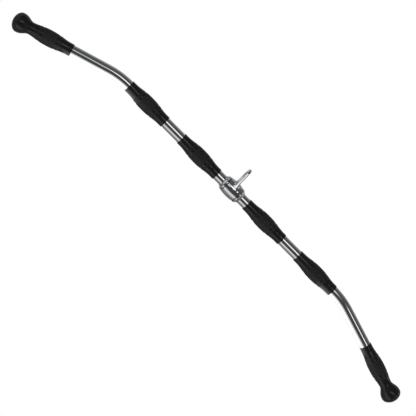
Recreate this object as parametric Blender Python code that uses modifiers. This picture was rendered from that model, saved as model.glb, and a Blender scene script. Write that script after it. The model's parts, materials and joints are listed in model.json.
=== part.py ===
"""Lat pulldown bar: a bent chromed steel bar with rubber grips, turning in a hanger with a cable eye.

Metres, +Z up, the bar along X and its ends bent down. The origin is the centre of the eye's hole, by which
the bar hangs.
"""

import math

import bmesh
import bpy
from mathutils import Vector

# Bar
BAR_DIAMETER = 0.0254
BEND_ANGLE = math.radians(16.8)
BEND_RADIUS = 0.190
ARM_LENGTH = 0.2653  # bend's corner, where the straight axes would cross, to the knob's tip
BAR_END_COVER = 0.010  # rubber left between the bar's end and the knob's tip
BAR_END_CHAMFER = 0.0015

# Hanger: eye plate
EYE_HEIGHT = 0.0453  # bar's axis to the centre of the eye's hole
EYE_HOLE_DIAMETER = 0.016
EYE_RIM = 0.008  # metal round the hole
EYE_CHAMFER = 0.0009
PLATE_THICKNESS = 0.0062
PLATE_FOOT_INSET = 0.0005  # plate's edge inside the barrel's widest place, at the bar's axis
PLATE_FILLET = 0.0065  # radius between the plate's faces and the barrel
PLATE_EDGE_ROUND = 0.0008

# Hanger: barrel
BARREL_LENGTH = 0.0343
BARREL_END_DIAMETER = 0.0382
BARREL_CROWN = 0.0016  # how far the middle swells beyond the ends, on the radius
BARREL_EDGE_ROUND = 0.0006
BARREL_BORE_CLEARANCE = 0.0010  # round the bar, between the two bushes

# Bearing
BUSH_LENGTH = 0.0120
BUSH_WALL = 0.0022
BUSH_SET_BACK = 0.0003  # bush's outer end inside the barrel's end face
WASHER_THICKNESS = 0.0010
WASHER_RECESS = 0.0008  # washer's rim below the barrel's end, on the radius

# Collars
COLLAR_LENGTH = 0.0096
COLLAR_DIAMETER = 0.0376
COLLAR_LAND = 0.0009  # straight part before the shoulder starts to fall
COLLAR_LIP = 0.0006  # wall left at the shoulder's foot
COLLAR_EDGE_ROUND = 0.0005
SHOULDER_FULLNESS = 1.2  # above 1 the shoulder stays full for longer before it falls
SET_SCREW_DIAMETER = 0.0048
SET_SCREW_EDGE = 0.0009  # metal between the collar's inner face and the screw's hole
SET_SCREW_SINK = 0.0010  # screw's outer end below the shoulder
HEX_SOCKET_ACROSS_FLATS = 0.0025
HEX_SOCKET_DEPTH = 0.0014

# Grips
GRIP_END_DIAMETER = 0.0284
SWELL_HEIGHT = 0.0039  # swell beyond the ends, on the radius
SWELL_REACH = 0.048  # swell's middle to where it has died away
SWELL_FULLNESS = 1.2
GRIP_LENGTH = 0.1135
COLLAR_TO_GRIP = 0.01895
GRIP_SPACING = 0.0512  # bare bar between the inner and the outer grip
GRIP_TO_BEND = 0.0009
GRIP_EDGE_ROUND = 0.0006
PAD_HALF_LENGTH = 0.029  # the raised, textured middle
PAD_RISE = 0.0002
PAD_EDGE = 0.0010  # length of the slope at the pad's edge
RING_OFFSET = 0.0202  # swell's middle to the middle of a ring groove
RING_WIDTH = 0.0042
RING_DEPTH = 0.0004
RING_FULLNESS = 1.6  # above 1 the groove's bottom is broader

# Knobbed end grips
END_GRIP_LENGTH = 0.1455
KNOB_LENGTH = 0.0447  # tip to neck
KNOB_DIAMETER = 0.0460
KNOB_DOME = 0.0168  # tip to the widest place
KNOB_FULLNESS = 1.3

# Fits
FIT_GAP = 0.0003  # between pieces that touch
RUNNING_CLEARANCE = 0.0003  # bar in its bushes, on the radius

# Facets
BAR_SIDES = 32
HANGER_SIDES = 36
GRIP_SIDES = 24
SCREW_SIDES = 20
HEX_SIDES = 6
BEND_STEPS = 8
RING_STATIONS = (-1.0, 0.0, 1.0)  # points across a ring groove, in half widths
FADE_STEPS = 3  # points between the pad's edge and the swell's end
MERGE = 0.0001
WELD = 0.00001
OVERLAP = 0.001  # how far a cutter runs past what it cuts
JOIN = 0.00004  # how far shapes that would share a face run into each other

BAR_RADIUS = BAR_DIAMETER / 2
SEAT_RADIUS = BAR_RADIUS + FIT_GAP
BUSH_BORE_RADIUS = BAR_RADIUS + RUNNING_CLEARANCE
BUSH_RADIUS = BUSH_BORE_RADIUS + BUSH_WALL
BARREL_RADIUS = BARREL_END_DIAMETER / 2 + BARREL_CROWN
PLATE_FOOT = BARREL_RADIUS - PLATE_FOOT_INSET
COLLAR_FACE = BARREL_LENGTH / 2 + WASHER_THICKNESS + 2 * FIT_GAP
INNER_GRIP_START = COLLAR_FACE + COLLAR_LENGTH + COLLAR_TO_GRIP
OUTER_GRIP_START = INNER_GRIP_START + GRIP_LENGTH + GRIP_SPACING
BEND_START = OUTER_GRIP_START + GRIP_LENGTH + GRIP_TO_BEND
BEND_CORNER = BEND_START + BEND_RADIUS * math.tan(BEND_ANGLE / 2)
SET_SCREW_HOLE_RADIUS = SET_SCREW_DIAMETER / 2 + FIT_GAP
SET_SCREW_HEIGHT = SET_SCREW_EDGE + SET_SCREW_HOLE_RADIUS  # collar's inner face to the screw's axis
SWELL_CENTRE = GRIP_LENGTH / 2  # from a grip's inner end


def clear_scene():
    """Remove every object, mesh, curve and material that the file holds."""
    for obj in list(bpy.data.objects):
        bpy.data.objects.remove(obj, do_unlink=True)
    for store in (bpy.data.meshes, bpy.data.curves, bpy.data.materials):
        for block in list(store):
            store.remove(block)


def new_collection(name):
    """Return a new collection under the scene's own."""
    collection = bpy.data.collections.new(name)
    bpy.context.scene.collection.children.link(collection)
    return collection


def new_material(name, colour, roughness, metallic):
    """Return a Principled material."""
    material = bpy.data.materials.new(name)
    material.use_nodes = True
    shader = material.node_tree.nodes["Principled BSDF"]
    shader.inputs["Base Color"].default_value = (*colour, 1.0)
    shader.inputs["Roughness"].default_value = roughness
    shader.inputs["Metallic"].default_value = metallic
    material.diffuse_color = (*colour, 1.0)
    return material


def chrome(name):
    """Bright chrome plate."""
    return new_material(name, (0.80, 0.81, 0.83), 0.08, 1.0)


def rubber(name):
    """Near-black moulded rubber."""
    return new_material(name, (0.018, 0.018, 0.020), 0.55, 0.0)


def nylon(name):
    """Black bearing nylon."""
    return new_material(name, (0.025, 0.025, 0.025), 0.5, 0.0)


def bronze(name):
    """Sintered bearing bronze."""
    return new_material(name, (0.48, 0.31, 0.16), 0.4, 1.0)


def black_steel(name):
    """Blackened screw steel."""
    return new_material(name, (0.05, 0.05, 0.055), 0.35, 1.0)


class Assembly:
    """The collections, and the empties that carry the hanger's pieces and those that turn in it."""

    def __init__(self):
        self.parts = new_collection("lat_pulldown_bar")
        self.cutters = new_collection("cutters")
        self.eye = self.empty("eye_centre", 0.0, None)
        self.barrel = self.empty("barrel_centre", -EYE_HEIGHT, self.eye)
        self.axis = self.empty("bar_axis", -EYE_HEIGHT, self.eye)

    def empty(self, name, height, parent):
        """Return an empty that pieces are parented to, on the origin's own vertical."""
        empty = bpy.data.objects.new(name, None)
        empty.empty_display_size = BAR_RADIUS
        empty.location.z = height
        empty.parent = parent
        self.parts.objects.link(empty)
        return empty

    def add(self, name, data, material, parent):
        """Link a piece with its own material under one of the empties."""
        obj = bpy.data.objects.new(name, data)
        data.materials.append(material)
        obj.parent = parent
        self.parts.objects.link(obj)
        return obj

    def helper(self, name, data, parent):
        """Link a shape that is only used to cut or join others."""
        obj = bpy.data.objects.new(name, data)
        obj.parent = parent
        obj.hide_render = True
        obj.display_type = "WIRE"
        self.cutters.objects.link(obj)
        return obj


def profile_mesh(name, points, closed):
    """Return a mesh of edges through (radius, height) points, ready for a Screw modifier."""
    mesh = bpy.data.meshes.new(name)
    shape = bmesh.new()
    verts = [shape.verts.new((radius, 0.0, height)) for radius, height in points]
    for start, end in zip(verts, verts[1:]):
        shape.edges.new((start, end))
    if closed:
        shape.edges.new((verts[-1], verts[0]))
    shape.to_mesh(mesh)
    shape.free()
    return mesh


def turn(obj, sides):
    """Turn an object's profile about its Z axis."""
    screw = obj.modifiers.new("turned", "SCREW")
    screw.steps = sides
    screw.render_steps = sides
    screw.use_merge_vertices = True
    screw.merge_threshold = MERGE
    screw.use_smooth_shade = True
    return obj


def lay_along(obj, direction):
    """Turn an object so that its own Z axis points along a direction."""
    obj.rotation_euler = Vector(direction).to_track_quat("Z", "Y").to_euler()


def boolean(obj, other, operation):
    """Add an exact Boolean modifier."""
    modifier = obj.modifiers.new(f"{operation.lower()} {other.name}", "BOOLEAN")
    modifier.operation = operation
    modifier.solver = "EXACT"
    modifier.object = other


def rounded_corner(corner, before, after, radius, steps=2):
    """Return the points of an arc that rounds one right-angled corner of a profile."""
    corner, before, after = Vector(corner), Vector(before), Vector(after)
    back = (before - corner).normalized() * radius
    ahead = (after - corner).normalized() * radius
    centre = corner + back + ahead
    angles = [math.pi / 2 * step / steps for step in range(steps + 1)]
    return [tuple(centre - ahead * math.cos(angle) - back * math.sin(angle)) for angle in angles]


def fall(share, fullness):
    """Fall smoothly from 1 to 0 as share goes from 0 to 1, staying full for longer with more fullness."""
    share = min(max(share, 0.0), 1.0)
    return 0.5 + 0.5 * math.cos(math.pi * share**fullness)


def arm_point(side, distance):
    """Return the point of an arm's axis at a distance from the bend's corner."""
    return Vector((side * BEND_CORNER, 0.0, 0.0)) + arm_direction(side) * distance


def arm_direction(side):
    """Return the direction of an arm, away from the middle."""
    return Vector((side * math.cos(BEND_ANGLE), 0.0, -math.sin(BEND_ANGLE)))


def bar_half_route(side):
    """Return (point, radius share) along one half of the bar, from the bend's start to the bar's end."""
    route = []
    for step in range(BEND_STEPS + 1):
        angle = BEND_ANGLE * step / BEND_STEPS
        across = BEND_START + BEND_RADIUS * math.sin(angle)
        down = BEND_RADIUS * (1 - math.cos(angle))
        route.append((Vector((side * across, 0.0, -down)), 1.0))
    end = ARM_LENGTH - BAR_END_COVER
    route.append((arm_point(side, end - BAR_END_CHAMFER), 1.0))
    route.append((arm_point(side, end), 1.0 - BAR_END_CHAMFER / BAR_RADIUS))
    return route


def make_bar(assembly):
    """The bent bar: one curve with a round bevel and chamfered ends."""
    route = list(reversed(bar_half_route(-1))) + bar_half_route(1)
    curve = bpy.data.curves.new("bar", "CURVE")
    curve.dimensions = "3D"
    curve.bevel_depth = BAR_RADIUS
    curve.bevel_resolution = (BAR_SIDES - 4) // 2  # a round bevel has 4 sides and 2 more for each step
    curve.use_fill_caps = True
    spline = curve.splines.new("POLY")
    spline.points.add(len(route) - 1)
    for point, (place, share) in zip(spline.points, route):
        point.co = (*place, 1.0)
        point.radius = share
    return assembly.add("bar", curve, chrome("bar_chrome"), assembly.axis)


def crown(distance):
    """Return the barrel's radius at a distance from its middle."""
    share = distance / (BARREL_LENGTH / 2)
    return BARREL_RADIUS - BARREL_CROWN * share**2


def barrel_profile(steps=8):
    """Return the barrel's outline as a solid body, top to bottom."""
    half = BARREL_LENGTH / 2
    inner = half - BARREL_EDGE_ROUND
    edge = crown(inner)
    top = rounded_corner((edge, half), (0.0, half), (edge, 0.0), BARREL_EDGE_ROUND)
    side = [inner * (1 - 2 * step / steps) for step in range(1, steps)]
    points = [(0.0, half)] + top
    points += [(crown(height), height) for height in side]
    points += [(radius, -height) for radius, height in reversed(top)]
    points.append((0.0, -half))
    return points


def flare_profile(steps=5):
    """Return the turned body that blends the plate's faces into the barrel with a fillet."""
    half = PLATE_THICKNESS / 2 - JOIN
    foot = crown(half + PLATE_FILLET) - JOIN
    side = [(foot - OVERLAP, half + PLATE_FILLET)]
    for step in range(steps + 1):
        angle = math.pi / 2 * step / steps
        radius = foot + PLATE_FILLET * (1 - math.cos(angle))
        side.append((radius, half + PLATE_FILLET * (1 - math.sin(angle))))
    side.append((foot + PLATE_FILLET + PLATE_EDGE_ROUND, half - PLATE_EDGE_ROUND))
    lower = [(radius, -height) for radius, height in reversed(side)]
    return [(0.0, half + PLATE_FILLET)] + side + lower + [(0.0, -half - PLATE_FILLET)]


def plate_outline(inset, steps=18):
    """Return the eye plate's outline as (y, z) from the eye's centre: a round top on a tapered stem."""
    radius = EYE_HOLE_DIAMETER / 2 + EYE_RIM - inset
    foot = Vector((PLATE_FOOT - inset, -EYE_HEIGHT))
    lean = math.acos(radius / foot.length) + math.atan2(foot.y, foot.x)
    points = [tuple(foot)]
    for step in range(steps + 1):
        angle = lean + (math.pi - 2 * lean) * step / steps
        points.append((radius * math.cos(angle), radius * math.sin(angle)))
    points.append((-foot.x, foot.y))
    return points


def outline_solid(assembly, name, half_width, inset, rim):
    """Return the eye plate's outline as a solid across X, made a mesh so that it can be joined and cut."""
    curve = bpy.data.curves.new(name, "CURVE")
    curve.dimensions = "2D"
    curve.fill_mode = "BOTH"
    curve.extrude = half_width - rim
    curve.bevel_depth = rim
    curve.bevel_resolution = 1
    curve.offset = -rim
    spline = curve.splines.new("POLY")
    outline = plate_outline(inset)
    spline.points.add(len(outline) - 1)
    for point, (across, up) in zip(spline.points, outline):
        point.co = (across, up, 0.0, 1.0)
    spline.use_cyclic_u = True
    flat = assembly.helper(f"{name}_curve", curve, assembly.eye)
    # The outline's own x, y and z become y, z and x.
    flat.rotation_euler = (math.pi / 2, 0.0, math.pi / 2)
    return curve_to_mesh(assembly, flat, name)


def curve_to_mesh(assembly, source, name):
    """Replace a curve object with a closed mesh in the same place."""
    bpy.context.view_layer.update()
    graph = bpy.context.evaluated_depsgraph_get()
    mesh = bpy.data.meshes.new_from_object(source.evaluated_get(graph))
    shape = bmesh.new()
    shape.from_mesh(mesh)
    bmesh.ops.remove_doubles(shape, verts=shape.verts, dist=WELD)
    bmesh.ops.recalc_face_normals(shape, faces=shape.faces)
    shape.to_mesh(mesh)
    shape.free()
    solid = assembly.helper(name, mesh, None)
    solid.matrix_world = source.matrix_world.copy()
    bpy.data.objects.remove(source, do_unlink=True)
    return solid


def make_flare(assembly):
    """Return the turned flare cut to the plate's outline, so that the plate's edge widens at its foot."""
    profile = profile_mesh("plate_flare", flare_profile(), False)
    flare = assembly.helper("plate_flare", profile, assembly.barrel)
    turn(flare, 2 * HANGER_SIDES)
    lay_along(flare, (1, 0, 0))
    width = PLATE_THICKNESS / 2 + PLATE_FILLET + OVERLAP
    boolean(flare, outline_solid(assembly, "flare_outline", width, JOIN, 0.0), "INTERSECT")
    return flare


def bore_profile():
    """Return the stepped bore of the barrel: a bush seat at each end and a clearance between them."""
    seat = BUSH_RADIUS + FIT_GAP
    clear = BAR_RADIUS + BARREL_BORE_CLEARANCE
    far = BARREL_LENGTH / 2 + OVERLAP
    step = BARREL_LENGTH / 2 - BUSH_SET_BACK - BUSH_LENGTH - FIT_GAP
    upper = [(0.0, far), (seat, far), (seat, step), (clear, step)]
    return upper + [(radius, -height) for radius, height in reversed(upper)]


def eye_profile():
    """Return the eye's hole as a turned cutter that also chamfers both rims."""
    radius = EYE_HOLE_DIAMETER / 2
    face = PLATE_THICKNESS / 2
    far = face + OVERLAP
    wide = radius + EYE_CHAMFER + OVERLAP
    upper = [(0.0, far), (wide, far), (radius, face - EYE_CHAMFER)]
    return upper + [(r, -height) for r, height in reversed(upper)]


def make_hanger(assembly):
    """The chromed casting: crowned barrel, eye plate, stepped bore and eye."""
    profile = profile_mesh("hanger", barrel_profile(), False)
    hanger = assembly.add("hanger", profile, chrome("hanger_chrome"), assembly.barrel)
    turn(hanger, HANGER_SIDES)
    lay_along(hanger, (1, 0, 0))
    slab = outline_solid(assembly, "eye_plate", PLATE_THICKNESS / 2, 0.0, PLATE_EDGE_ROUND)
    boolean(hanger, slab, "UNION")
    boolean(hanger, make_flare(assembly), "UNION")
    cut_across(assembly, hanger, "barrel_bore", bore_profile(), assembly.barrel)
    cut_across(assembly, hanger, "eye_hole", eye_profile(), assembly.eye)


def cut_across(assembly, piece, name, points, parent):
    """Cut a turned hole, whose axis runs along X through its parent, out of a piece."""
    cutter = assembly.helper(name, profile_mesh(name, points, False), parent)
    turn(cutter, HANGER_SIDES)
    lay_along(cutter, (1, 0, 0))
    boolean(piece, cutter, "DIFFERENCE")


def ring(inner, outer, length):
    """Return the closed profile of a plain ring that starts at height 0."""
    return [(outer, length), (outer, 0.0), (inner, 0.0), (inner, length)]


def place_on_bar(obj, side, distance):
    """Set a turned piece on the bar's straight part, its own Z axis away from the middle."""
    lay_along(obj, (side, 0, 0))
    obj.location = (side * distance, 0.0, 0.0)


def make_bush(assembly, side, word):
    """A bearing bush in its seat in the barrel's end."""
    name = f"bush_{word}"
    profile = profile_mesh(name, ring(BUSH_BORE_RADIUS, BUSH_RADIUS, BUSH_LENGTH), True)
    bush = assembly.add(name, profile, bronze(f"{name}_bronze"), assembly.barrel)
    turn(bush, BAR_SIDES)
    place_on_bar(bush, side, BARREL_LENGTH / 2 - BUSH_SET_BACK - BUSH_LENGTH)


def make_thrust_washer(assembly, side, word):
    """A thin washer between the barrel and a collar."""
    name = f"thrust_washer_{word}"
    outer = BARREL_END_DIAMETER / 2 - WASHER_RECESS
    profile = profile_mesh(name, ring(BUSH_BORE_RADIUS, outer, WASHER_THICKNESS), True)
    washer = assembly.add(name, profile, nylon(f"{name}_nylon"), assembly.barrel)
    turn(washer, BAR_SIDES)
    place_on_bar(washer, side, BARREL_LENGTH / 2 + FIT_GAP)


def shoulder(height):
    """Return the collar's outer radius at a height above its inner face."""
    foot = SEAT_RADIUS + COLLAR_LIP
    share = (height - COLLAR_LAND) / (COLLAR_LENGTH - COLLAR_LAND)
    return foot + (COLLAR_DIAMETER / 2 - foot) * fall(share, SHOULDER_FULLNESS)


def collar_profile(steps=7):
    """Return the collar's closed profile: ogee shoulder outside, plain bore inside."""
    outer = COLLAR_DIAMETER / 2
    start = max(COLLAR_LAND, COLLAR_EDGE_ROUND)
    points = []
    for step in range(steps + 1):
        height = COLLAR_LENGTH + (start - COLLAR_LENGTH) * step / steps
        points.append((shoulder(height), height))
    points += rounded_corner((outer, 0.0), (outer, start), (0.0, 0.0), COLLAR_EDGE_ROUND)
    points += [(SEAT_RADIUS, 0.0), (SEAT_RADIUS, COLLAR_LENGTH)]
    return points


def cylinder_mesh(name, radius, depth, sides):
    """Return a capped cylinder about Z from height 0 to its depth."""
    mesh = bpy.data.meshes.new(name)
    shape = bmesh.new()
    bmesh.ops.create_cone(
        shape, cap_ends=True, segments=sides, radius1=radius, radius2=radius, depth=depth
    )
    bmesh.ops.translate(shape, verts=shape.verts, vec=(0.0, 0.0, depth / 2))
    shape.to_mesh(mesh)
    shape.free()
    return mesh


def stand_on_bar(obj, side, radius):
    """Stand a radial piece on the bar's back, at the set screw's place and at a distance from the axis."""
    obj.rotation_euler = (-math.pi / 2, 0.0, 0.0)
    obj.location = (side * (COLLAR_FACE + SET_SCREW_HEIGHT), radius, 0.0)


def make_collar(assembly, side, word):
    """A chromed collar with the set screw's hole in its back."""
    name = f"collar_{word}"
    profile = profile_mesh(name, collar_profile(), True)
    collar = assembly.add(name, profile, chrome(f"{name}_chrome"), assembly.axis)
    turn(collar, BAR_SIDES)
    place_on_bar(collar, side, COLLAR_FACE)
    name = f"set_screw_hole_{word}"
    depth = COLLAR_DIAMETER / 2 - SEAT_RADIUS + 2 * OVERLAP
    mesh = cylinder_mesh(name, SET_SCREW_HOLE_RADIUS, depth, SCREW_SIDES)
    hole = assembly.helper(name, mesh, assembly.axis)
    stand_on_bar(hole, side, SEAT_RADIUS - OVERLAP)
    boolean(collar, hole, "DIFFERENCE")


def make_set_screw(assembly, side, word):
    """A grub screw with a hexagon socket, its point just off the bar."""
    name = f"set_screw_{word}"
    top = shoulder(SET_SCREW_HEIGHT) - SET_SCREW_SINK
    mesh = cylinder_mesh(name, SET_SCREW_DIAMETER / 2, top - SEAT_RADIUS, SCREW_SIDES)
    screw = assembly.add(name, mesh, black_steel(f"{name}_steel"), assembly.axis)
    stand_on_bar(screw, side, SEAT_RADIUS)
    name = f"hex_socket_{word}"
    corner_radius = HEX_SOCKET_ACROSS_FLATS / 2 / math.cos(math.pi / HEX_SIDES)
    mesh = cylinder_mesh(name, corner_radius, HEX_SOCKET_DEPTH + OVERLAP, HEX_SIDES)
    socket = assembly.helper(name, mesh, assembly.axis)
    stand_on_bar(socket, side, top - HEX_SOCKET_DEPTH)
    boolean(screw, socket, "DIFFERENCE")


def ring_groove(distance):
    """Return how deep a ring groove is at a distance from the swell's middle."""
    from_ring = abs(abs(distance) - RING_OFFSET) / (RING_WIDTH / 2)
    return RING_DEPTH * fall(from_ring, RING_FULLNESS)


def pad(distance):
    """Return how far the textured pad stands proud at a distance from the swell's middle."""
    share = (abs(distance) - PAD_HALF_LENGTH + PAD_EDGE) / PAD_EDGE
    return PAD_RISE * (1 - min(max(share, 0.0), 1.0))


def grip_radius(distance):
    """Return a grip's outer radius at a distance from the swell's middle."""
    swell = SWELL_HEIGHT * fall(abs(distance) / SWELL_REACH, SWELL_FULLNESS)
    return GRIP_END_DIAMETER / 2 + swell + pad(distance) - ring_groove(distance)


def swell_stations():
    """Return the distances from the swell's middle at which its outline needs a point, on one side."""
    half_ring = RING_WIDTH / 2
    stations = [0.0, (RING_OFFSET - half_ring) / 2]
    stations += [RING_OFFSET + half_ring * share for share in RING_STATIONS]
    stations += [PAD_HALF_LENGTH - PAD_EDGE, PAD_HALF_LENGTH]
    fade = SWELL_REACH - PAD_HALF_LENGTH
    stations += [PAD_HALF_LENGTH + fade * step / FADE_STEPS for step in range(1, FADE_STEPS + 1)]
    return stations


def swell_outline(from_station, to_station):
    """Return (distance, radius) through the whole swell between two ends, counted from its middle."""
    half = swell_stations()
    places = sorted({-place for place in half} | set(half))
    return [(place, grip_radius(place)) for place in places if from_station < place < to_station]


def grip_end(inner_height, towards):
    """Return the rounded outer corner of a grip's plain end, starting on the end face."""
    radius = GRIP_END_DIAMETER / 2
    return rounded_corner(
        (radius, inner_height), (0.0, inner_height), (radius, towards), GRIP_EDGE_ROUND, steps=1
    )


def grip_profile():
    """Return a straight grip's closed profile, from its outer end down."""
    top = grip_end(GRIP_LENGTH, 0.0)
    reach = SWELL_CENTRE - GRIP_EDGE_ROUND
    middle = [(radius, SWELL_CENTRE + place) for place, radius in reversed(swell_outline(-reach, reach))]
    bottom = list(reversed(grip_end(0.0, GRIP_LENGTH)))
    return top + middle + bottom + [(SEAT_RADIUS, 0.0), (SEAT_RADIUS, GRIP_LENGTH)]


def make_grip(assembly, name, side, start):
    """A straight rubber grip on the bar's level part."""
    profile = profile_mesh(name, grip_profile(), True)
    grip = assembly.add(name, profile, rubber(f"{name}_rubber"), assembly.axis)
    turn(grip, GRIP_SIDES)
    place_on_bar(grip, side, start)


def knob_radius(from_tip):
    """Return the knob's radius at a distance from its tip: an elliptic dome, then a fall to the neck."""
    widest = KNOB_DIAMETER / 2
    if from_tip <= KNOB_DOME:
        return widest * math.sqrt(1 - (1 - from_tip / KNOB_DOME) ** 2)
    neck = GRIP_END_DIAMETER / 2
    share = (from_tip - KNOB_DOME) / (KNOB_LENGTH - KNOB_DOME)
    return neck + (widest - neck) * fall(share, KNOB_FULLNESS)


def knob_outline(dome_steps=7, neck_steps=6):
    """Return (radius, distance from the tip) from the tip to the neck."""
    points = []
    for step in range(dome_steps + 1):
        from_tip = KNOB_DOME * (1 - math.cos(math.pi / 2 * step / dome_steps))
        points.append((knob_radius(from_tip), from_tip))
    for step in range(1, neck_steps + 1):
        from_tip = KNOB_DOME + (KNOB_LENGTH - KNOB_DOME) * step / neck_steps
        points.append((knob_radius(from_tip), from_tip))
    return points


def end_grip_profile():
    """Return the knobbed grip's open profile, from the tip down its outside and back up its blind bore."""
    points = [(radius, END_GRIP_LENGTH - from_tip) for radius, from_tip in knob_outline()]
    neck = END_GRIP_LENGTH - KNOB_LENGTH - SWELL_CENTRE
    middle = swell_outline(-SWELL_CENTRE + GRIP_EDGE_ROUND, neck - GRIP_EDGE_ROUND)
    points += [(radius, SWELL_CENTRE + place) for place, radius in reversed(middle)]
    points += list(reversed(grip_end(0.0, END_GRIP_LENGTH)))
    bottom = END_GRIP_LENGTH - BAR_END_COVER + FIT_GAP
    points += [(SEAT_RADIUS, 0.0), (SEAT_RADIUS, bottom), (0.0, bottom)]
    return points


def make_end_grip(assembly, side, word):
    """A knobbed grip over an arm's end."""
    name = f"end_grip_{word}"
    profile = profile_mesh(name, end_grip_profile(), False)
    grip = assembly.add(name, profile, rubber(f"{name}_rubber"), assembly.axis)
    turn(grip, GRIP_SIDES)
    lay_along(grip, arm_direction(side))
    grip.location = arm_point(side, ARM_LENGTH - END_GRIP_LENGTH)


def main():
    """Build the whole bar."""
    clear_scene()
    assembly = Assembly()
    make_hanger(assembly)
    make_bar(assembly)
    for side, word in ((-1, "left"), (1, "right")):
        make_bush(assembly, side, word)
        make_thrust_washer(assembly, side, word)
        make_collar(assembly, side, word)
        make_set_screw(assembly, side, word)
        make_grip(assembly, f"grip_inner_{word}", side, INNER_GRIP_START)
        make_grip(assembly, f"grip_outer_{word}", side, OUTER_GRIP_START)
        make_end_grip(assembly, side, word)


main()
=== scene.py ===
"""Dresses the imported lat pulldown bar: a bent chromed bar with rubber grips, turning in a hanger with an eye.

Metres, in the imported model's frame: the bar along X, up along +Z, the origin at the centre of the eye's hole.
Each sub-assembly is a class that holds its sizes, builds its meshes where the CAD nodes are and dresses them.
"""

import json
import logging
import math
from dataclasses import dataclass, field
from enum import Enum
from itertools import pairwise
from typing import Any

import bmesh
import bpy
import numpy as np
from mathutils import Matrix, Vector


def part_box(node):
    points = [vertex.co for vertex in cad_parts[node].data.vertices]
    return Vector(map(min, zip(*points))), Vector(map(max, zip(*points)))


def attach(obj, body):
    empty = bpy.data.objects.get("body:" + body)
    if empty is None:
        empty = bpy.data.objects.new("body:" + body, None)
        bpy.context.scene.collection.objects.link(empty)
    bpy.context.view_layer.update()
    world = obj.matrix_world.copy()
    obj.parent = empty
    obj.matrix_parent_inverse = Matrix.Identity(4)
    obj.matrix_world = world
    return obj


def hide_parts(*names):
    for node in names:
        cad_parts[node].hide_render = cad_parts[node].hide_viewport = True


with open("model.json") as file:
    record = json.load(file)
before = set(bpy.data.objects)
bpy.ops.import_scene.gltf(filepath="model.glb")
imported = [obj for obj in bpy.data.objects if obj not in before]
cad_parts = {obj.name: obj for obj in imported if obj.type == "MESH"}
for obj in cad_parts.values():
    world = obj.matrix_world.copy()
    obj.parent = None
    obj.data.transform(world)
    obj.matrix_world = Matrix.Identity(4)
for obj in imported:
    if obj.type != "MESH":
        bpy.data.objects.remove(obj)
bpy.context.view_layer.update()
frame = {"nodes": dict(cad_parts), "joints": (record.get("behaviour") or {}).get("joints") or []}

Pair = tuple[float, float]
Colour = tuple[float, float, float]
Points = np.ndarray
Values = dict[Any, Any] | None

LOG = logging.getLogger("lat_pulldown_bar")
PHOTO_SIDE = 416
MM = 0.001
TURN = 2 * math.pi
HEXAGON = 6
ACROSS = Vector((1.0, 0.0, 0.0))
FRONT_TO_BACK = Vector((0.0, 1.0, 0.0))
UP = Vector((0.0, 0.0, 1.0))
BAR_AXIS = Vector(frame["joints"][0]["pos_m"])

# A Mix node's sockets for colours, which have the same names as those for numbers.
MIX_LOW, MIX_HIGH, MIX_RESULT = 6, 7, 2


class Side(Enum):
    """The two halves of the bar."""

    LEFT = -1
    RIGHT = 1

    @property
    def word(self) -> str:
        """The half's name, as the nodes have it."""
        return self.name.lower()


class Way(Enum):
    """The ways that the profile of a turned piece runs, by its height and radius."""

    UP = (1.0, 0.0)
    DOWN = (-1.0, 0.0)
    OUT = (0.0, 1.0)
    IN = (0.0, -1.0)


@dataclass(frozen=True)
class Grain:
    """A noise: its features to the metre, its finer octaves, their strength and how it is drawn out."""

    scale: float
    detail: float = 3.0
    roughness: float = 0.5
    stretch: Colour | None = None


class Polish(Enum):
    """How the chromed steel was polished: the grain of its fine marks and of its slow waves."""

    ALONG = (Grain(2400.0, 2.0, stretch=(0.012, 1.0, 1.0)), Grain(60.0, 1.0, stretch=(0.25, 1.0, 1.0)))
    AROUND = (Grain(3200.0, 2.0), Grain(75.0, 1.0))
    CAST = (Grain(2600.0, 2.0, stretch=(0.35, 1.0, 0.6)), Grain(75.0, 1.0))

    @property
    def marks(self) -> Grain:
        """The grain of its fine marks."""
        return self.value[0]

    @property
    def waves(self) -> Grain:
        """The grain of its slow waves."""
        return self.value[1]


# Node trees


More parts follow.
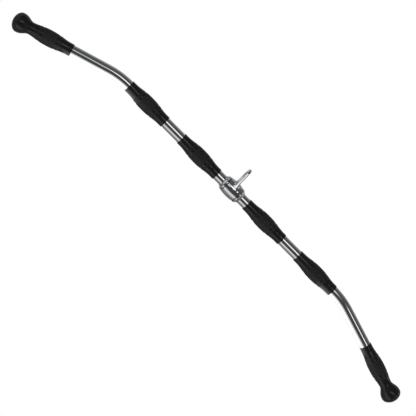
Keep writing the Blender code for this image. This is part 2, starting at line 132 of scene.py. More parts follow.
class NodeSheet:
    """The nodes of one tree, added by type, with their settings first and their sockets after."""

    def __init__(self, tree: bpy.types.NodeTree) -> None:
        """Keep a material's, a world's or a geometry tree."""
        self.tree = tree

    def add(self, kind: str, settings: Values = None, inputs: Values = None) -> bpy.types.Node:
        """Add a node.

        Args:
            kind: The node's type, such as ShaderNodeMath.
            settings: Its settings, such as a Math node's operation or a ramp's stops.
            inputs: A value, socket or signal for each of its sockets, by name or number.

        Returns:
            The new node.
        """
        node = self.tree.nodes.new(kind)
        for key, value in (settings or {}).items():
            setattr(node, key, value)
        for key, value in (inputs or {}).items():
            self.feed(node.inputs[key], value)
        return node

    def feed(self, socket: bpy.types.NodeSocket, value: Any) -> None:
        """Link a socket to a signal or another socket, or set its value.

        Args:
            socket: The socket that takes the value.
            value: A signal, a socket or a plain value.
        """
        source = value.socket if isinstance(value, Signal) else value
        if isinstance(source, bpy.types.NodeSocket):
            self.tree.links.new(source, socket)
        else:
            socket.default_value = source

    def result(self, kind: str, output: Any = 0, settings: Values = None, inputs: Values = None) -> "Signal":
        """Add a node and return one of its outputs, by name or number, as a signal."""
        return Signal(self, self.add(kind, settings, inputs).outputs[output])

    def blend(self, share: "Signal", low: Colour, high: Colour) -> "Signal":
        """Return a blend of two colours, where the share is how much of the second."""
        ends = {0: share, MIX_LOW: (*low, 1.0), MIX_HIGH: (*high, 1.0)}
        return self.result("ShaderNodeMix", MIX_RESULT, {"data_type": "RGBA"}, ends)

    def part_of(self, vector: "Signal", axis: str) -> "Signal":
        """Return a vector's X, Y or Z."""
        return self.result("ShaderNodeSeparateXYZ", axis, inputs={0: vector})

    def length(self, vector: "Signal") -> "Signal":
        """Return a vector's length."""
        return self.result("ShaderNodeVectorMath", "Value", {"operation": "LENGTH"}, {0: vector})

    def scaled(self, vector: "Signal", scale: Colour) -> "Signal":
        """Return a vector with each of its parts multiplied by its own factor."""
        return self.result("ShaderNodeVectorMath", 0, {"operation": "MULTIPLY"}, {0: vector, 1: scale})


class Signal:
    """A number that varies over a surface; arithmetic on it adds Math nodes."""

    def __init__(self, sheet: NodeSheet, socket: bpy.types.NodeSocket) -> None:
        """Keep a tree's sheet and the output socket that the number comes from."""
        self.sheet = sheet
        self.socket = socket

    def math(self, operation: str, first: Any, second: Any = 0.0) -> "Signal":
        """Return the result of a Math node."""
        return self.sheet.result("ShaderNodeMath", 0, {"operation": operation}, {0: first, 1: second})

    def __add__(self, other: Any) -> "Signal":
        """Return self + other."""
        return self.math("ADD", self, other)

    def __radd__(self, other: Any) -> "Signal":
        """Return other + self."""
        return self.math("ADD", other, self)

    def __sub__(self, other: Any) -> "Signal":
        """Return self - other."""
        return self.math("SUBTRACT", self, other)

    def __rsub__(self, other: Any) -> "Signal":
        """Return other - self."""
        return self.math("SUBTRACT", other, self)

    def __mul__(self, other: Any) -> "Signal":
        """Return self * other."""
        return self.math("MULTIPLY", self, other)

    def __rmul__(self, other: Any) -> "Signal":
        """Return other * self."""
        return self.math("MULTIPLY", other, self)

    def __abs__(self) -> "Signal":
        """Return the size of the number without its sign."""
        return self.math("ABSOLUTE", self)

    def sine(self) -> "Signal":
        """Return the sine of the number."""
        return self.math("SINE", self)

    def rise(self, low: float, high: float) -> "Signal":
        """Return a smooth rise from 0 at low to 1 at high; low above high gives a fall.

        Args:
            low: Where it is 0.
            high: Where it is 1.

        Returns:
            A signal from 0 to 1.
        """
        ends = {"Value": self, "From Min": min(low, high), "From Max": max(low, high)}
        ends |= {"To Min": float(low > high), "To Max": float(low <= high)}
        return self.sheet.result("ShaderNodeMapRange", 0, {"interpolation_type": "SMOOTHSTEP"}, ends)


class MaterialSheet(NodeSheet):
    """The nodes of one Principled material."""

    def __init__(self, name: str) -> None:
        """Start a material with an empty tree, a Principled shader and its output.

        Args:
            name: The material's name.
        """
        self.material = bpy.data.materials.new(name)
        self.material.use_nodes = True
        super().__init__(self.material.node_tree)
        self.tree.nodes.clear()
        self.shader = self.add("ShaderNodeBsdfPrincipled")
        self.add("ShaderNodeOutputMaterial", inputs={"Surface": self.shader.outputs[0]})

    def surface(self, **values: Any) -> bpy.types.Material:
        """Feed the shader's sockets, an underscore standing for a space in their names.

        Args:
            values: A value or signal for each socket.

        Returns:
            The finished material.
        """
        for key, value in values.items():
            self.feed(self.shader.inputs[key.replace("_", " ")], value)
        self.material.diffuse_color = tuple(self.shader.inputs["Base Color"].default_value)
        return self.material

    def attribute(self, name: str, output: str) -> Signal:
        """Return one of the mesh's own attributes."""
        return self.result("ShaderNodeAttribute", output, {"attribute_name": name})

    def place(self) -> Signal:
        """Return the point on the piece in the model's frame."""
        return self.result("ShaderNodeTexCoord", "Object")

    def wrap(self) -> Signal:
        """Return the point by the piece's own axis: how far along it, then across it and above it."""
        return self.attribute("wrap", "Vector")

    def from_axis(self, wrap: Signal) -> Signal:
        """Return the distance from the piece's own axis."""
        return self.length(self.scaled(wrap, (0.0, 1.0, 1.0)))

    def noise(self, vector: Signal, grain: Grain) -> Signal:
        """Return noise about 0.5.

        Args:
            vector: The point.
            grain: The noise's features.

        Returns:
            The noise.
        """
        point = self.scaled(vector, grain.stretch) if grain.stretch else vector
        values = {"Vector": point, "Scale": grain.scale, "Detail": grain.detail, "Roughness": grain.roughness}
        return self.result("ShaderNodeTexNoise", "Fac", {"noise_dimensions": "3D"}, values)

    def bumped(self, height: Signal, depth: float, under: Signal | None = None) -> Signal:
        """Return the normal over a height from 0 to 1.

        Args:
            height: The height.
            depth: The depth of its full range, in metres.
            under: A normal that this one is laid over.

        Returns:
            The normal.
        """
        values = {"Height": height, "Distance": depth, "Strength": 1.0}
        if under is not None:
            values["Normal"] = under
        return self.result("ShaderNodeBump", inputs=values)


# Finishes


@dataclass(frozen=True)
class ChromePlate:
    """Bright chrome plate over polished steel, with its polishing marks and a little handling haze."""

    name: str
    polish: Polish
    colour: Colour = (0.80, 0.81, 0.83)
    hazed: Colour = (0.75, 0.76, 0.78)
    roughness: float = 0.045
    haze: float = 0.09
    haze_grain: Grain = Grain(38.0, 4.0, 0.6)
    haze_span: Pair = (0.52, 0.74)
    marks: float = 0.025
    mark_depth: float = 0.0008 * MM
    wave_depth: float = 0.020 * MM
    worn: float = 0.22
    worn_reach: float = 0.0
    worn_fade: float = 1.25
    worn_grain: Grain = Grain(900.0, stretch=(1.0, 0.3, 1.0))
    worn_span: Pair = (0.45, 0.6)

    def marked(self, sheet: MaterialSheet) -> Signal:
        """Return the fine marks that polishing left, as noise drawn out along the polishing.

        Args:
            sheet: The material's nodes.

        Returns:
            Noise about 0.5.
        """
        point = sheet.place() if self.polish is Polish.CAST else sheet.wrap()
        if self.polish is Polish.AROUND:
            lathe = {"X": sheet.part_of(point, "X"), "Y": sheet.from_axis(point)}
            point = sheet.result("ShaderNodeCombineXYZ", inputs=lathe)
        return sheet.noise(point, self.polish.marks)

    def rubbed(self, sheet: MaterialSheet) -> Signal:
        """Return the extra roughness round the eye, where the carabiner rubs.

        Args:
            sheet: The material's nodes.

        Returns:
            A roughness to add.
        """
        near = sheet.length(sheet.place()).rise(self.worn_reach * self.worn_fade, self.worn_reach)
        streaks = sheet.noise(sheet.place(), self.worn_grain).rise(*self.worn_span)
        return near * streaks * self.worn

    def make(self) -> bpy.types.Material:
        """Make the finish.

        Returns:
            The material.
        """
        sheet = MaterialSheet(self.name)
        marks = self.marked(sheet)
        haze = sheet.noise(sheet.place(), self.haze_grain).rise(*self.haze_span)
        dull = haze * self.haze + marks * self.marks
        if self.worn_reach:
            dull = dull + self.rubbed(sheet)
        point = sheet.wrap() if self.polish is Polish.ALONG else sheet.place()
        waves = sheet.noise(point, self.polish.waves)
        return sheet.surface(
            Metallic=1.0,
            Base_Color=sheet.blend(haze, self.colour, self.hazed),
            Roughness=dull + self.roughness,
            Normal=sheet.bumped(marks, self.mark_depth, sheet.bumped(waves, self.wave_depth)),
        )


@dataclass(frozen=True)
class MouldedRubber:
    """Black moulded rubber: satin where it is smooth, dull and dusty on the tread."""

    name: str
    colour: Colour = (0.029, 0.029, 0.0295)
    dusty: Colour = (0.052, 0.052, 0.052)
    roughness: float = 0.01
    tread_roughness: float = 0.46
    flow_roughness: float = 0.12
    grain_roughness: float = 0.06
    shine: float = 0.42
    flow: Grain = Grain(45.0, 3.0, 0.55)
    grain: Grain = Grain(2800.0, 3.0, 0.6)
    grain_depth: float = 0.012 * MM
    specks: Grain = Grain(900.0, 4.0, 0.7)
    speck_span: Pair = (0.45, 0.75)
    dust: float = 0.15
    tread_dust: float = 0.5
    tread_bloom: float = 0.3
    line_depth: float = 0.05 * MM
    line_width: float = 0.16 * MM
    line_flat: float = 0.3

    def make(self) -> bpy.types.Material:
        """Make the finish.

        Returns:
            The material.
        """
        sheet = MaterialSheet(self.name)
        place = sheet.place()
        tread = sheet.attribute("tread", "Fac")
        grain = sheet.noise(place, self.grain)
        specks = sheet.noise(place, self.specks).rise(*self.speck_span)
        dust = specks * (tread * self.tread_dust + self.dust) + tread * self.tread_bloom
        from_line = abs(sheet.part_of(sheet.wrap(), "Y"))
        parting = from_line.rise(self.line_width, self.line_flat * self.line_width)
        dull = tread * self.tread_roughness + sheet.noise(place, self.flow) * self.flow_roughness
        return sheet.surface(
            Base_Color=sheet.blend(dust, self.colour, self.dusty),
            Roughness=dull + grain * self.grain_roughness + self.roughness,
            Specular_IOR_Level=self.shine,
            Normal=sheet.bumped(grain, self.grain_depth, sheet.bumped(parting, self.line_depth)),
        )


@dataclass(frozen=True)
class TurnedNylon:
    """Black bearing nylon with the fine rings of its turning."""

    name: str
    colour: Colour = (0.022, 0.022, 0.023)
    scuffed: Colour = (0.045, 0.045, 0.045)
    roughness: float = 0.42
    scuff_roughness: float = 0.15
    scuffs: Grain = Grain(600.0, 4.0, 0.65)
    scuff_span: Pair = (0.5, 0.72)
    ring_roughness: float = 0.05
    ring_pitch: float = 0.35 * MM
    ring_depth: float = 0.008 * MM

    def make(self) -> bpy.types.Material:
        """Make the finish.

        Returns:
            The material.
        """
        sheet = MaterialSheet(self.name)
        rings = (sheet.from_axis(sheet.wrap()) * (TURN / self.ring_pitch)).sine() * 0.5 + 0.5
        scuffs = sheet.noise(sheet.place(), self.scuffs).rise(*self.scuff_span)
        return sheet.surface(
            Base_Color=sheet.blend(scuffs, self.colour, self.scuffed),
            Roughness=scuffs * self.scuff_roughness + rings * self.ring_roughness + self.roughness,
            Normal=sheet.bumped(rings, self.ring_depth),
        )


@dataclass(frozen=True)
class SinteredBronze:
    """Oiled bearing bronze, speckled with its pores."""

    name: str
    colour: Colour = (0.48, 0.31, 0.16)
    pore_colour: Colour = (0.16, 0.09, 0.045)
    roughness: float = 0.31
    pore_roughness: float = 0.3
    oil_roughness: float = 0.1
    pores: Grain = Grain(4200.0, 2.0, 0.6)
    pore_span: Pair = (0.56, 0.66)
    pore_depth: float = 0.03 * MM
    oil: Grain = Grain(260.0)

    def make(self) -> bpy.types.Material:
        """Make the finish.

        Returns:
            The material.
        """
        sheet = MaterialSheet(self.name)
        pores = sheet.noise(sheet.place(), self.pores).rise(*self.pore_span)
        oil = sheet.noise(sheet.place(), self.oil)
        return sheet.surface(
            Metallic=1.0,
            Base_Color=sheet.blend(pores, self.colour, self.pore_colour),
            Roughness=pores * self.pore_roughness + oil * self.oil_roughness + self.roughness,
            Normal=sheet.bumped(1.0 - pores, self.pore_depth),
        )


@dataclass(frozen=True)
class BlackenedSteel:
    """Screw steel with an oil-blacked skin that is rubbed bright in places."""

    name: str
    colour: Colour = (0.045, 0.045, 0.050)
    rubbed: Colour = (0.20, 0.20, 0.21)
    rubbed_span: Pair = (0.60, 0.74)
    roughness: float = 0.23
    skin_roughness: float = 0.18
    skin: Grain = Grain(2200.0, 4.0, 0.65)
    skin_depth: float = 0.004 * MM

    def make(self) -> bpy.types.Material:
        """Make the finish.

        Returns:
            The material.
        """
        sheet = MaterialSheet(self.name)
        skin = sheet.noise(sheet.place(), self.skin)
        return sheet.surface(
            Metallic=1.0,
            Base_Color=sheet.blend(skin.rise(*self.rubbed_span), self.colour, self.rubbed),
            Roughness=skin * self.skin_roughness + self.roughness,
            Normal=sheet.bumped(skin, self.skin_depth),
        )


# Meshes


def finished(mesh: bpy.types.Mesh, crease: float) -> bpy.types.Mesh:
    """Shade a mesh smooth, but for the edges that turn sharply.

    Args:
        mesh: The mesh.
        crease: The angle above which an edge stays sharp, in degrees.

    Returns:
        The same mesh.
    """
    mesh.shade_smooth()
    mesh.set_sharp_from_angle(angle=math.radians(crease))
    return mesh


def plain_object(name: str, data: bpy.types.ID) -> bpy.types.Object:
    """Link a mesh, light or camera as an object at the origin.

    Args:
        name: The object's name.
        data: What it shows.

    Returns:
        The object.
    """
    obj = bpy.data.objects.new(name, data)
    bpy.context.scene.collection.objects.link(obj)
    return obj


def settled(obj: bpy.types.Object) -> bpy.types.Mesh:
    """Turn an object's live modifiers into a plain mesh, and clear the object away.

    Args:
        obj: A mesh object with live modifiers.

    Returns:
        The plain mesh.
    """
    bpy.context.view_layer.update()
    graph = bpy.context.evaluated_depsgraph_get()
    mesh = bpy.data.meshes.new_from_object(obj.evaluated_get(graph))
    mesh.name = obj.name
    raw = obj.data
    bpy.data.objects.remove(obj)
    bpy.data.meshes.remove(raw)
    return mesh


def give(mesh: bpy.types.Mesh, name: str, kind: str, domain: str, values: Any) -> None:
    """Store values on a mesh as a named attribute."""
    member = "vector" if kind == "FLOAT_VECTOR" else "value"
    mesh.attributes.new(name, kind, domain).data.foreach_set(member, values)


def points_of(mesh: bpy.types.Mesh) -> Points:
    """Return a mesh's points, one row to each."""
    return np.array([vertex.co for vertex in mesh.vertices], float)


def face_outwards(mesh: bpy.types.Mesh) -> bpy.types.Mesh:
    """Turn a closed mesh's faces outwards if they face inwards.

    Args:
        mesh: The mesh.

    Returns:
        The same mesh.
    """
    shape = bmesh.new()
    shape.from_mesh(mesh)
    if shape.calc_volume(signed=True) < 0:
        bmesh.ops.reverse_faces(shape, faces=shape.faces)
    shape.to_mesh(mesh)
    shape.free()
    return mesh


def install(
    name: str, mesh: bpy.types.Mesh, material: bpy.types.Material, body: str, node: str
) -> None:
    """Put a finished piece in the place of its CAD node, and report it.

    Args:
        name: The piece's name.
        mesh: Its mesh, in the model's frame.
        material: Its finish.
        body: The CAD body that it rides on.
        node: The CAD node that it stands for.
    """
    obj = plain_object(name, mesh)
    if not mesh.materials:
        mesh.materials.append(material)
    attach(obj, body)
    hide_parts(node)
    mesh.calc_loop_triangles()
    low, high = (np.array(corner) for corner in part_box(node))
    made = points_of(mesh)
    beyond = max((low - made.min(0)).max(), (made.max(0) - high).max())
    LOG.info("%s: %d triangles, %.2f mm past its node", name, len(mesh.loop_triangles), beyond / MM)


def on_axis(place: float) -> Vector:
    """Return the point of the bar's straight axis at a place across."""
    return BAR_AXIS + Vector((place, 0.0, 0.0))


def inner_face(node: str) -> float:
    """Return how far out along the bar a CAD node starts."""
    return min(abs(corner.x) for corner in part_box(node))


@dataclass(frozen=True)
class Seat:
    """Where a turned piece sits: its foot, the way its height runs, and the way across it."""

    foot: Vector
    along: Vector
    across: Vector = FRONT_TO_BACK

    @property
    def above(self) -> Vector:
        """The direction square to the other two, on the upper side."""
        square = self.along.cross(self.across)
        return -square if square.z < 0 else square

    def lay(self, own: Points) -> Points:
        """Move points, given by height, across and above, to the model's frame."""
        return np.array(self.foot) + own @ np.array([self.along, self.across, self.above])


def node_seat(node: str, side: Side) -> Seat:
    """Return the seat of a piece on the bar's straight middle, at its CAD node's inner face."""
    return Seat(on_axis(side.value * inner_face(node)), Vector((side.value, 0.0, 0.0)))


@dataclass(frozen=True)
class Ring:
    """One row of points round a turned piece."""

    height: float
    radius: float
    tread: int = 0
    flats: int = 0

    def reach(self, angles: Points) -> Points:
        """Return the distance from the axis at each angle, round or with flats.

        Args:
            angles: The angles.

        Returns:
            The distances.
        """
        if not self.flats:
            return np.full_like(angles, self.radius)
        sector = TURN / self.flats
        from_flat = (angles + sector / 2) % sector - sector / 2
        return self.radius / np.cos(from_flat)


@dataclass
class Turning:
    """A closed body made of rings; rings of one tread zone are joined by diamonds instead of squares."""

    rings: list[Ring]
    columns: int = 96
    hollow: bool = True
    faces: list[tuple[int, ...]] = field(default_factory=list)
    diamonds: list[bool] = field(default_factory=list)
    starts: list[int] = field(default_factory=list)

    def points(self) -> Points:
        """Return each ring's points by the piece's own axes, one point where a ring is a pole.

        Returns:
            One row to a point: its height, then across and above the axis.
        """
        angles = np.arange(self.columns) * TURN / self.columns
        rows: list[Points] = []
        for ring in self.rings:
            self.starts.append(sum(map(len, rows)))
            turns = angles if ring.radius > 0 else angles[:1]
            height, reach = np.full_like(turns, ring.height), ring.reach(turns)
            rows.append(np.stack([height, reach * np.cos(turns), reach * np.sin(turns)], 1))
        return np.concatenate(rows)

    def at(self, row: int, column: int) -> int:
        """Return the number of the point in a row and column."""
        row %= len(self.rings)
        return self.starts[row] + (column % self.columns if self.rings[row].radius > 0 else 0)

    def face(self, corners: list[tuple[int, int]], diamond: bool = False) -> None:
        """Add a face, or a diamond of the tread, through rows and columns, leaving out doubled points."""
        self.faces.append(tuple(dict.fromkeys(self.at(row, column) for row, column in corners)))
        self.diamonds.append(diamond)

    def band(self, row: int) -> None:
        """Join a row to the next with squares, or with triangles at a pole."""
        for column in range(self.columns):
            self.face([(row, column), (row, column + 1), (row + 1, column + 1), (row + 1, column)])

    def lattice(self, first: int, last: int) -> None:
        """Fill the rows of a tread zone with diamonds, and its two edges with halves.

        Args:
            first: The zone's first row.
            last: Its last row.
        """
        for row in range(first, last + 1):
            for column in range((row - first) % 2, self.columns, 2):
                before = (row, column) if row == first else (row - 1, column)
                after = (row, column) if row == last else (row + 1, column)
                self.face([(row, column - 1), before, (row, column + 1), after], first < row < last)

    def mesh(self, name: str, seat: Seat) -> bpy.types.Mesh:
        """Build the mesh, facing outwards, with its tread flags and its own coordinates as attributes.

        Args:
            name: The mesh's name.
            seat: Where the piece sits.

        Returns:
            The mesh.
        """
        own = self.points()
        count = len(self.rings) if self.hollow else len(self.rings) - 1
        row = 0
        while row < count:
            last = row
            while self.rings[row].tread and self.rings[last + 1].tread == self.rings[row].tread:
                last += 1
            if last > row:
                self.lattice(row, last)
            else:
                self.band(row)
            row = max(last, row + 1)
        used = np.unique(np.concatenate(self.faces))
        number = dict(zip(used.tolist(), range(len(used))))
        mesh = bpy.data.meshes.new(name)
        faces = [[number[corner] for corner in face] for face in self.faces]
        mesh.from_pydata(seat.lay(own[used]).tolist(), [], faces)
        give(mesh, "diamond", "BOOLEAN", "FACE", self.diamonds)
        give(mesh, "wrap", "FLOAT_VECTOR", "POINT", own[used].astype(np.float32).ravel())
        return face_outwards(mesh)


def fall(share: float, fullness: float) -> float:
    """Fall smoothly from 1 to 0 as share goes from 0 to 1, staying full for longer with more fullness."""
    return 0.5 + 0.5 * math.cos(math.pi * min(max(share, 0.0), 1.0) ** fullness)


def spread(start: float, end: float, step: float) -> list[float]:
    """Return even stations from start up to but not with end, at most a step apart."""
    count = max(1, math.ceil(abs(end - start) / step - 1e-6))
    return [start + (end - start) * index / count for index in range(count)]


def corner_rings(corner: Pair, back: Way, ahead: Way, radius: float, steps: int = 5) -> list[Ring]:
    """Round a right-angled corner of a profile, with a ring on each side that keeps the flats flat.

    Args:
        corner: The corner's height and radius.
        back: The way from it to what comes before.
        ahead: The way from it to what comes after.
        radius: The rounding's radius.
        steps: The arc's steps.

    Returns:
        The rings through the corner.
    """
    flat_start = 1.3
    middle, to_back, to_ahead = Vector(corner), Vector(back.value) * radius, Vector(ahead.value) * radius
    centre = middle + to_back + to_ahead
    angles = [math.pi / 2 * step / steps for step in range(steps + 1)]
    arc = [centre - to_ahead * math.cos(angle) - to_back * math.sin(angle) for angle in angles]
    points = [middle + to_back * flat_start, *arc, middle + to_ahead * flat_start]
    return [Ring(point.x, point.y) for point in points]


class ShapeTree:
    """A Geometry Nodes tree with named inputs for its sizes."""

    def __init__(self, name: str) -> None:
        """Start the tree with a geometry input and output.

        Args:
            name: The tree's name.
        """
        self.tree = bpy.data.node_groups.new(name, "GeometryNodeTree")
        self.sheet = NodeSheet(self.tree)
        self.names: dict[str, str] = {}
        self.entry = self.sheet.add("NodeGroupInput")
        self.start = self.size("Geometry", "NodeSocketGeometry")
        self.tree.interface.new_socket(name="Geometry", in_out="OUTPUT", socket_type="NodeSocketGeometry")

    def size(self, name: str, kind: str = "NodeSocketFloat") -> Signal:
        """Add a named input.

        Args:
            name: The input's name.
            kind: Its socket's type.

        Returns:
            The input as a signal.
        """
        socket = self.tree.interface.new_socket(name=name, in_out="INPUT", socket_type=kind)
        self.names[name] = socket.identifier
        return Signal(self.sheet, self.entry.outputs[name])

    def stored(self, geometry: Signal, name: str, kind: str, domain: str, value: Any) -> Signal:
        """Return the geometry with a value stored on it as a named attribute."""
        settings, values = {"data_type": kind, "domain": domain}, {0: geometry, "Name": name, "Value": value}
        return self.sheet.result("GeometryNodeStoreNamedAttribute", "Geometry", settings, values)

    def read(self, name: str, kind: str) -> Signal:
        """Return a named attribute."""
        settings, values = {"data_type": kind}, {"Name": name}
        return self.sheet.result("GeometryNodeInputNamedAttribute", "Attribute", settings, values)

    def end(self, geometry: Signal) -> None:
        """End the tree in Realize Instances and Set Material.

        Args:
            geometry: What the tree made.
        """
        material = self.size("Material", "NodeSocketMaterial")
        real = self.sheet.result("GeometryNodeRealizeInstances", inputs={"Geometry": geometry})
        values = {"Geometry": real, "Material": material}
        dressed = self.sheet.result("GeometryNodeSetMaterial", inputs=values)
        self.sheet.add("NodeGroupOutput", inputs={0: dressed})

    def run(self, name: str, mesh: bpy.types.Mesh, values: dict[str, Any]) -> bpy.types.Mesh:
        """Run the tree on a mesh.

        Args:
            name: The new mesh's name.
            mesh: What the tree starts from.
            values: The inputs, by name.

        Returns:
            The mesh that the tree made.
        """
        obj = plain_object(name, mesh)
        modifier = obj.modifiers.new(name, "NODES")
        modifier.node_group = self.tree
        for key, value in values.items():
            modifier[self.names[key]] = value
        return settled(obj)


# Sub-assemblies


@dataclass
class BentBar:
    """The chromed steel bar: straight in the middle, its two arms bent down."""

    radius: float = 12.7 * MM
    bend_angle: float = math.radians(16.8)
    bend_radius: float = 190.0 * MM
    bend_start: float = 326.4 * MM
    arm_length: float = 265.3 * MM
    end_cover: float = 10.0 * MM
    end_chamfer: float = 1.5 * MM
    row_spacing: float = 6.0 * MM
    bend_rows: int = 40
    sides: int = 96
    crease: float = 30.0

    @property
    def tangent(self) -> float:
        """How far a bend reaches from its corner."""
        return self.bend_radius * math.tan(self.bend_angle / 2)

    def arm_seat(self, side: Side, distance: float) -> Seat:
        """Return a seat on an arm, at a distance from the corner where its axis and the middle's cross."""
        direction = Vector((side.value * math.cos(self.bend_angle), 0.0, -math.sin(self.bend_angle)))
        return Seat(on_axis(side.value * (self.bend_start + self.tangent)) + direction * distance, direction)

    def arm_line(self, side: Side) -> list[Vector]:
        """Return the points of an arm's axis, from its end in to the bend's corner.

        Args:
            side: Its half of the bar.

        Returns:
            The points.
        """
        end = self.arm_length - self.end_cover
        stations = [end, end - self.end_chamfer]
        stations += spread(end - 2 * self.end_chamfer, self.tangent + self.row_spacing, self.row_spacing)
        return [self.arm_seat(side, place).foot for place in [*stations, 0.0]]

    def route(self) -> bpy.types.Mesh:
        """Return the bar's axis as a line of points, with each bend still a corner.

        Returns:
            A mesh of edges, with each point's bend and its share of the bar's radius as attributes.
        """
        left, right = (self.arm_line(side) for side in Side)
        straight = spread(-self.bend_start + self.row_spacing, self.bend_start, self.row_spacing)
        points = left + [on_axis(place) for place in straight] + right[::-1]
        mesh = bpy.data.meshes.new("bar_route")
        mesh.from_pydata(points, list(pairwise(range(len(points)))), [])
        bends, shares = [0] * len(points), [1.0] * len(points)
        bends[len(left) - 1] = bends[-len(right)] = 1
        shares[0] = shares[-1] = 1.0 - self.end_chamfer / self.radius
        give(mesh, "bend", "INT", "POINT", bends)
        give(mesh, "share", "FLOAT", "POINT", shares)
        return mesh

    def tree(self) -> ShapeTree:
        """Lay out the tree that bends the route and sweeps the bar's section along it.

        Returns:
            The tree.
        """
        shape = ShapeTree("bent_bar")
        sheet = shape.sheet
        bend_radius, radius = shape.size("Bend radius"), shape.size("Bar radius")
        bend_rows, sides = (shape.size(name, "NodeSocketInt") for name in ("Bend rows", "Sides"))
        line = sheet.result("GeometryNodeMeshToCurve", inputs={"Mesh": shape.start})
        corners = {"Curve": line, "Count": shape.read("bend", "INT") * bend_rows, "Radius": bend_radius}
        bent = sheet.result("GeometryNodeFilletCurve", 0, {"mode": "POLY"}, corners)
        run = sheet.result("GeometryNodeSplineParameter", "Length")
        axis = shape.stored(bent, "run", "FLOAT", "POINT", run)
        round_bar = {"Resolution": sides, "Radius": radius}
        circle = sheet.result("GeometryNodeCurvePrimitiveCircle", 0, {"mode": "RADIUS"}, round_bar)
        spot = sheet.result("GeometryNodeInputPosition")
        section = shape.stored(circle, "across", "FLOAT_VECTOR", "POINT", spot)
        share, across = shape.read("share", "FLOAT"), shape.read("across", "FLOAT_VECTOR")
        sweep = {"Curve": axis, "Profile Curve": section, "Scale": share, "Fill Caps": True}
        swept = sheet.result("GeometryNodeCurveToMesh", inputs=sweep)
        parts = {"X": shape.read("run", "FLOAT")}
        parts |= {"Y": sheet.part_of(across, "X"), "Z": sheet.part_of(across, "Y")}
        wrap = sheet.result("ShaderNodeCombineXYZ", inputs=parts)
        shape.end(shape.stored(swept, "wrap", "FLOAT_VECTOR", "POINT", wrap))
        return shape

    def build(self) -> None:
        """Build the bar and dress it."""
        material = ChromePlate("bar_chrome_plate", Polish.ALONG).make()
        sizes = {
            "Bend radius": self.bend_radius,
            "Bend rows": self.bend_rows,
            "Bar radius": self.radius,
            "Sides": self.sides,
            "Material": material,
        }
        mesh = finished(face_outwards(self.tree().run("bar_steel", self.route(), sizes)), self.crease)
        install("bar_steel", mesh, material, "bar", "bar")


